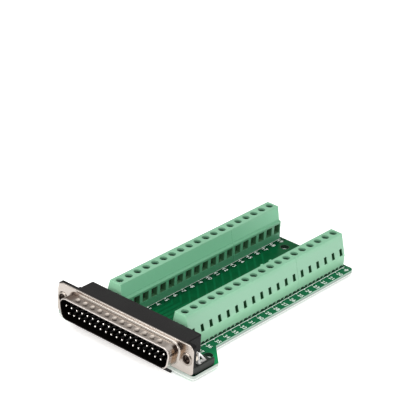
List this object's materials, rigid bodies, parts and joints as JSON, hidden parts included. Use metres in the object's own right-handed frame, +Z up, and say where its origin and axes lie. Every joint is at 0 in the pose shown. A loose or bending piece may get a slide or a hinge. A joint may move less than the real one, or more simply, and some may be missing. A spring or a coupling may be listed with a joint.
{
  "type": "d-sub terminal block adapter",
  "caption": "Right-angle D-sub plug on a green printed board with two long rows of rising-cage screw terminals, threaded inserts and fixing holes.",
  "frame": {"origin": "centre of the bounding box at its lowest level, where the pin tips end", "axes": "+X to the right seen from the plug's mating side, +Y from the plug to the rear of the board, +Z up"},
  "size_m": [0.07, 0.1166, 0.0172],
  "materials": {
    "board_green": "green solder mask on glass-fibre laminate",
    "black_plastic": "fine moulded texture",
    "nickel_shell": "nickel-plated drawn steel",
    "plated_brass": "plated, bright",
    "nickel_insert": "nickel-plated, turned",
    "tinned_clip": "tinned strip",
    "terminal_green": "moulded, satin",
    "zinc_cage": "zinc-plated",
    "tinned_brass": "tinned",
    "zinc_screw": "zinc-plated"
  },
  "bodies": {
    "board": {"pcb": "board_green", "support_strip": "black_plastic", "front_shell": "nickel_shell", "shell_skirt_upper": "nickel_shell", "shell_skirt_lower": "nickel_shell", "contact_insulator": "black_plastic", "rear_housing": "black_plastic", "contacts_upper_row": "plated_brass", "contacts_lower_row": "plated_brass", "threaded_insert_left": "nickel_insert", "threaded_insert_right": "nickel_insert", "ground_clip_left": "tinned_clip", "ground_clip_right": "tinned_clip", "terminal_block_left_front": "terminal_green", "terminal_block_left_rear": "terminal_green", "terminal_block_right_front": "terminal_green", "terminal_block_right_rear": "terminal_green", "clamp_cages_left": "zinc_cage", "clamp_cages_right": "zinc_cage", "terminal_pins_left": "tinned_brass", "terminal_pins_right": "tinned_brass"},
    "screw_01": {"screw_01": "zinc_screw"},
    "screw_02": {"screw_02": "zinc_screw"},
    "screw_03": {"screw_03": "zinc_screw"},
    "screw_04": {"screw_04": "zinc_screw"},
    "screw_05": {"screw_05": "zinc_screw"},
    "screw_06": {"screw_06": "zinc_screw"},
    "screw_07": {"screw_07": "zinc_screw"},
    "screw_08": {"screw_08": "zinc_screw"},
    "screw_09": {"screw_09": "zinc_screw"},
    "screw_10": {"screw_10": "zinc_screw"},
    "screw_11": {"screw_11": "zinc_screw"},
    "screw_12": {"screw_12": "zinc_screw"},
    "screw_13": {"screw_13": "zinc_screw"},
    "screw_14": {"screw_14": "zinc_screw"},
    "screw_15": {"screw_15": "zinc_screw"},
    "screw_16": {"screw_16": "zinc_screw"},
    "screw_17": {"screw_17": "zinc_screw"},
    "screw_18": {"screw_18": "zinc_screw"},
    "screw_19": {"screw_19": "zinc_screw"},
    "screw_37": {"screw_37": "zinc_screw"},
    "screw_36": {"screw_36": "zinc_screw"},
    "screw_35": {"screw_35": "zinc_screw"},
    "screw_34": {"screw_34": "zinc_screw"},
    "screw_33": {"screw_33": "zinc_screw"},
    "screw_32": {"screw_32": "zinc_screw"},
    "screw_31": {"screw_31": "zinc_screw"},
    "screw_30": {"screw_30": "zinc_screw"},
    "screw_29": {"screw_29": "zinc_screw"},
    "screw_28": {"screw_28": "zinc_screw"},
    "screw_27": {"screw_27": "zinc_screw"},
    "screw_26": {"screw_26": "zinc_screw"},
    "screw_25": {"screw_25": "zinc_screw"},
    "screw_24": {"screw_24": "zinc_screw"},
    "screw_23": {"screw_23": "zinc_screw"},
    "screw_22": {"screw_22": "zinc_screw"},
    "screw_21": {"screw_21": "zinc_screw"},
    "screw_20": {"screw_20": "zinc_screw"},
    "screw_ground": {"screw_ground": "zinc_screw"}
  },
  "joints": [
    {"name": "turn_01", "type": "hinge", "parent": "board", "child": "screw_01", "pos_m": [-0.0167, -0.03685, 0.0145], "axis": [0, 0, -1], "range_deg": [0, 2160]},
    {"name": "turn_02", "type": "hinge", "parent": "board", "child": "screw_02", "pos_m": [-0.0167, -0.03177, 0.0145], "axis": [0, 0, -1], "range_deg": [0, 2160]},
    {"name": "turn_03", "type": "hinge", "parent": "board", "child": "screw_03", "pos_m": [-0.0167, -0.02669, 0.0145], "axis": [0, 0, -1], "range_deg": [0, 2160]},
    {"name": "turn_04", "type": "hinge", "parent": "board", "child": "screw_04", "pos_m": [-0.0167, -0.02161, 0.0145], "axis": [0, 0, -1], "range_deg": [0, 2160]},
    {"name": "turn_05", "type": "hinge", "parent": "board", "child": "screw_05", "pos_m": [-0.0167, -0.01653, 0.0145], "axis": [0, 0, -1], "range_deg": [0, 2160]},
    {"name": "turn_06", "type": "hinge", "parent": "board", "child": "screw_06", "pos_m": [-0.0167, -0.01145, 0.0145], "axis": [0, 0, -1], "range_deg": [0, 2160]},
    {"name": "turn_07", "type": "hinge", "parent": "board", "child": "screw_07", "pos_m": [-0.0167, -0.00637, 0.0145], "axis": [0, 0, -1], "range_deg": [0, 2160]},
    {"name": "turn_08", "type": "hinge", "parent": "board", "child": "screw_08", "pos_m": [-0.0167, -0.00129, 0.0145], "axis": [0, 0, -1], "range_deg": [0, 2160]},
    {"name": "turn_09", "type": "hinge", "parent": "board", "child": "screw_09", "pos_m": [-0.0167, 0.00379, 0.0145], "axis": [0, 0, -1], "range_deg": [0, 2160]},
    {"name": "turn_10", "type": "hinge", "parent": "board", "child": "screw_10", "pos_m": [-0.0167, 0.00887, 0.0145], "axis": [0, 0, -1], "range_deg": [0, 2160]},
    {"name": "turn_11", "type": "hinge", "parent": "board", "child": "screw_11", "pos_m": [-0.0167, 0.01395, 0.0145], "axis": [0, 0, -1], "range_deg": [0, 2160]},
    {"name": "turn_12", "type": "hinge", "parent": "board", "child": "screw_12", "pos_m": [-0.0167, 0.01903, 0.0145], "axis": [0, 0, -1], "range_deg": [0, 2160]},
    {"name": "turn_13", "type": "hinge", "parent": "board", "child": "screw_13", "pos_m": [-0.0167, 0.02411, 0.0145], "axis": [0, 0, -1], "range_deg": [0, 2160]},
    {"name": "turn_14", "type": "hinge", "parent": "board", "child": "screw_14", "pos_m": [-0.0167, 0.02919, 0.0145], "axis": [0, 0, -1], "range_deg": [0, 2160]},
    {"name": "turn_15", "type": "hinge", "parent": "board", "child": "screw_15", "pos_m": [-0.0167, 0.03427, 0.0145], "axis": [0, 0, -1], "range_deg": [0, 2160]},
    {"name": "turn_16", "type": "hinge", "parent": "board", "child": "screw_16", "pos_m": [-0.0167, 0.03935, 0.0145], "axis": [0, 0, -1], "range_deg": [0, 2160]},
    {"name": "turn_17", "type": "hinge", "parent": "board", "child": "screw_17", "pos_m": [-0.0167, 0.04443, 0.0145], "axis": [0, 0, -1], "range_deg": [0, 2160]},
    {"name": "turn_18", "type": "hinge", "parent": "board", "child": "screw_18", "pos_m": [-0.0167, 0.04951, 0.0145], "axis": [0, 0, -1], "range_deg": [0, 2160]},
    {"name": "turn_19", "type": "hinge", "parent": "board", "child": "screw_19", "pos_m": [-0.0167, 0.05459, 0.0145], "axis": [0, 0, -1], "range_deg": [0, 2160]},
    {"name": "turn_37", "type": "hinge", "parent": "board", "child": "screw_37", "pos_m": [0.0167, -0.03685, 0.0145], "axis": [0, 0, -1], "range_deg": [0, 2160]},
    {"name": "turn_36", "type": "hinge", "parent": "board", "child": "screw_36", "pos_m": [0.0167, -0.03177, 0.0145], "axis": [0, 0, -1], "range_deg": [0, 2160]},
    {"name": "turn_35", "type": "hinge", "parent": "board", "child": "screw_35", "pos_m": [0.0167, -0.02669, 0.0145], "axis": [0, 0, -1], "range_deg": [0, 2160]},
    {"name": "turn_34", "type": "hinge", "parent": "board", "child": "screw_34", "pos_m": [0.0167, -0.02161, 0.0145], "axis": [0, 0, -1], "range_deg": [0, 2160]},
    {"name": "turn_33", "type": "hinge", "parent": "board", "child": "screw_33", "pos_m": [0.0167, -0.01653, 0.0145], "axis": [0, 0, -1], "range_deg": [0, 2160]},
    {"name": "turn_32", "type": "hinge", "parent": "board", "child": "screw_32", "pos_m": [0.0167, -0.01145, 0.0145], "axis": [0, 0, -1], "range_deg": [0, 2160]},
    {"name": "turn_31", "type": "hinge", "parent": "board", "child": "screw_31", "pos_m": [0.0167, -0.00637, 0.0145], "axis": [0, 0, -1], "range_deg": [0, 2160]},
    {"name": "turn_30", "type": "hinge", "parent": "board", "child": "screw_30", "pos_m": [0.0167, -0.00129, 0.0145], "axis": [0, 0, -1], "range_deg": [0, 2160]},
    {"name": "turn_29", "type": "hinge", "parent": "board", "child": "screw_29", "pos_m": [0.0167, 0.00379, 0.0145], "axis": [0, 0, -1], "range_deg": [0, 2160]},
    {"name": "turn_28", "type": "hinge", "parent": "board", "child": "screw_28", "pos_m": [0.0167, 0.00887, 0.0145], "axis": [0, 0, -1], "range_deg": [0, 2160]},
    {"name": "turn_27", "type": "hinge", "parent": "board", "child": "screw_27", "pos_m": [0.0167, 0.01395, 0.0145], "axis": [0, 0, -1], "range_deg": [0, 2160]},
    {"name": "turn_26", "type": "hinge", "parent": "board", "child": "screw_26", "pos_m": [0.0167, 0.01903, 0.0145], "axis": [0, 0, -1], "range_deg": [0, 2160]},
    {"name": "turn_25", "type": "hinge", "parent": "board", "child": "screw_25", "pos_m": [0.0167, 0.02411, 0.0145], "axis": [0, 0, -1], "range_deg": [0, 2160]},
    {"name": "turn_24", "type": "hinge", "parent": "board", "child": "screw_24", "pos_m": [0.0167, 0.02919, 0.0145], "axis": [0, 0, -1], "range_deg": [0, 2160]},
    {"name": "turn_23", "type": "hinge", "parent": "board", "child": "screw_23", "pos_m": [0.0167, 0.03427, 0.0145], "axis": [0, 0, -1], "range_deg": [0, 2160]},
    {"name": "turn_22", "type": "hinge", "parent": "board", "child": "screw_22", "pos_m": [0.0167, 0.03935, 0.0145], "axis": [0, 0, -1], "range_deg": [0, 2160]},
    {"name": "turn_21", "type": "hinge", "parent": "board", "child": "screw_21", "pos_m": [0.0167, 0.04443, 0.0145], "axis": [0, 0, -1], "range_deg": [0, 2160]},
    {"name": "turn_20", "type": "hinge", "parent": "board", "child": "screw_20", "pos_m": [0.0167, 0.04951, 0.0145], "axis": [0, 0, -1], "range_deg": [0, 2160]},
    {"name": "turn_ground", "type": "hinge", "parent": "board", "child": "screw_ground", "pos_m": [0.0167, 0.05459, 0.0145], "axis": [0, 0, -1], "range_deg": [0, 2160]}
  ]
}
